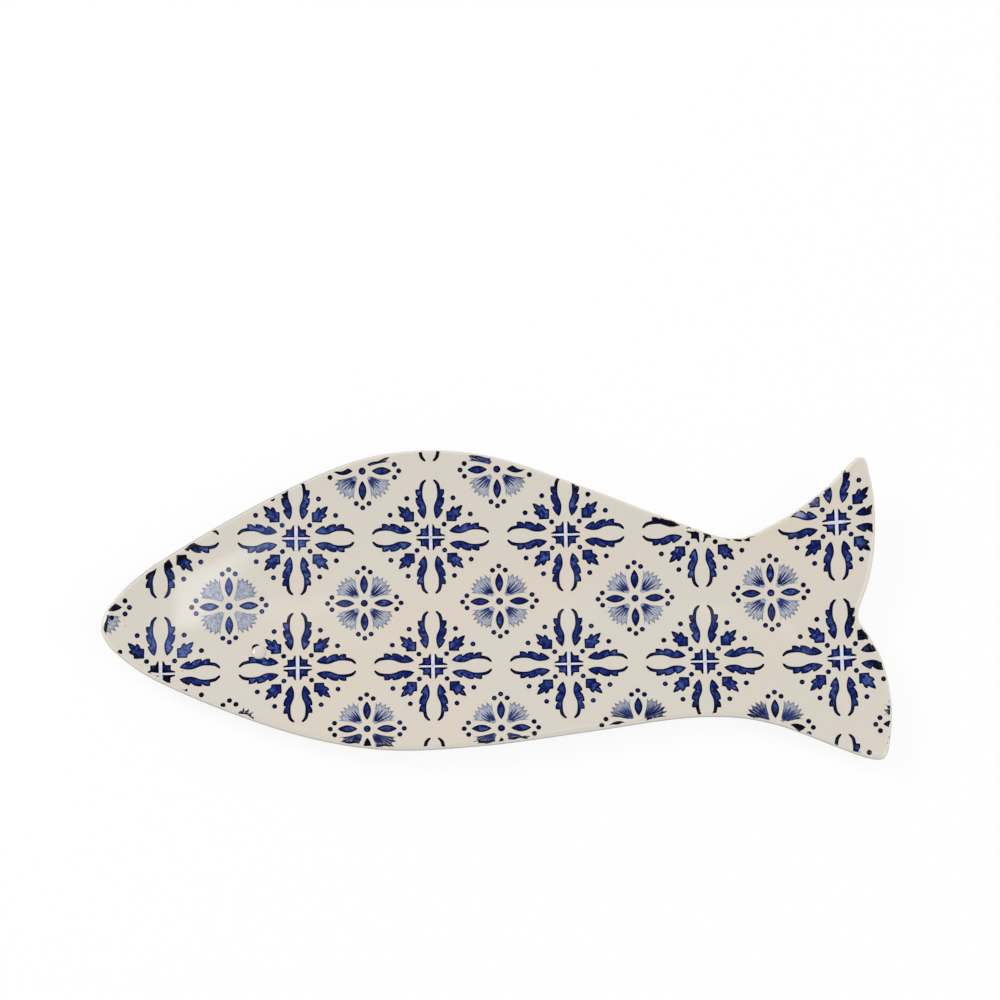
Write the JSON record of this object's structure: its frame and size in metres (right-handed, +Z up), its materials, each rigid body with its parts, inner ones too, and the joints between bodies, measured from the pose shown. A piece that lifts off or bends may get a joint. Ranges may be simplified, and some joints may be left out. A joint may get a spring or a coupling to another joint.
{
  "type": "serving platter",
  "caption": "Fish shaped serving platter: a shallow glazed dish with a rounded rim, a lifted and twisted tail, an oval foot ring and a raised bead for the eye.",
  "frame": {"origin": "on the surface that the foot ring stands on, under the middle of the plan's box", "axes": "+X from the nose to the tail, +Y from the belly to the back of the fish, +Z up out of the face"},
  "size_m": [0.3998, 0.1635, 0.0262],
  "materials": {
    "fired_clay": "bare, matt and slightly gritty fired earthenware",
    "face_glaze": "glossy cream glaze over a blue tile pattern",
    "back_glaze": "glossy cream glaze",
    "eye_bead": "glossy cream glaze"
  },
  "bodies": {
    "root": {"clay_body": "fired_clay", "face_glaze": "face_glaze", "back_glaze": "back_glaze", "eye_bead": "eye_bead"}
  },
  "joints": []
}
